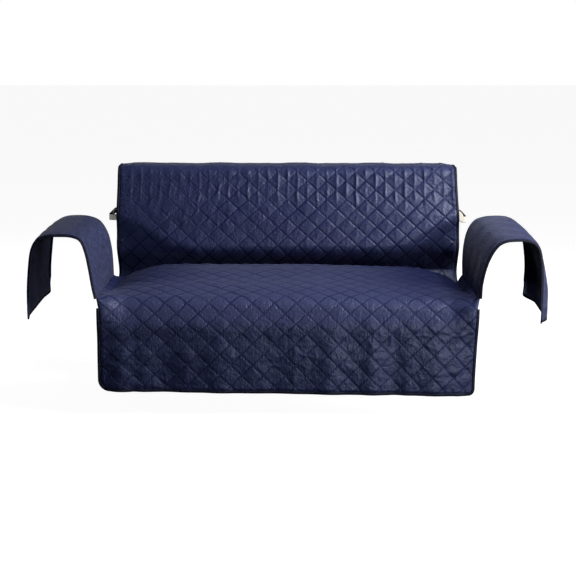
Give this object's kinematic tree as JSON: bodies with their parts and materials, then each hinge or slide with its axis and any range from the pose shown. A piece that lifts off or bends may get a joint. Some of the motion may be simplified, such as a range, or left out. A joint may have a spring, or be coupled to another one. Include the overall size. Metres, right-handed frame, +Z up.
{
  "type": "fitted sofa slipcover",
  "caption": "Fitted cover for a sofa: a long diamond-quilted panel over back, seat and front, plain panels over the arms, bound edges and an elastic strap behind the back.",
  "frame": {"origin": "underside of the cloth over the top of the back, at the middle of its width and depth", "axes": "+X to the right as seen from the front, along the seat; -Y to the front; +Z up"},
  "size_m": [2.0246, 0.9489, 0.8244],
  "materials": {
    "quilted_cloth": "diamond-quilted brushed microfibre, soft sheen",
    "plain_cloth": "brushed microfibre, soft sheen",
    "binding_tape": "woven tape, matte",
    "elastic": "ribbed woven elastic, matte"
  },
  "bodies": {
    "root": {"main_panel": "quilted_cloth", "arm_panel_left": "plain_cloth", "arm_panel_right": "plain_cloth", "binding_back": "binding_tape", "binding_skirt": "binding_tape", "binding_arm_left": "binding_tape", "binding_arm_right": "binding_tape", "strap": "elastic"}
  },
  "joints": []
}
